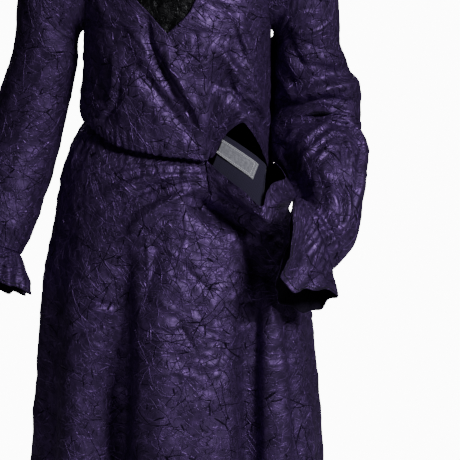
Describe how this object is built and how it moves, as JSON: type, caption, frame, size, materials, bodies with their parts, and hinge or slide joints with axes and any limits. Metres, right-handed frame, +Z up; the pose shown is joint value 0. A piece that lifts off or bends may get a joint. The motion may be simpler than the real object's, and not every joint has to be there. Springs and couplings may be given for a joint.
{
  "type": "witch costume dress",
  "caption": "Long-sleeved crushed-satin costume dress with a V neck, gathered skirt, ruffled cuffs and an access opening with flap at the waist.",
  "frame": {"origin": "midway between the two neck points of the shoulder seams, where the wearer's shoulders hold the dress", "axes": "+Z up, +X towards the wearer's left, -Y towards the wearer's front"},
  "size_m": [0.6839, 0.5173, 1.33],
  "materials": {
    "satin": "dark purple crushed satin, glossy on its creases",
    "black_satin": "black crushed satin, glossy",
    "navy_cloth": "matt dark navy woven cloth",
    "loop_tape": "grey fuzzy loop tape, matt"
  },
  "bodies": {
    "root": {"bodice_front": "satin", "bodice_back": "satin", "skirt_front": "satin", "skirt_back": "satin", "sleeve_left": "satin", "sleeve_right": "satin", "ruffle_left": "satin", "ruffle_right": "satin", "neck_inset": "black_satin", "opening_flap": "navy_cloth", "loop_patch": "loop_tape"}
  },
  "joints": []
}
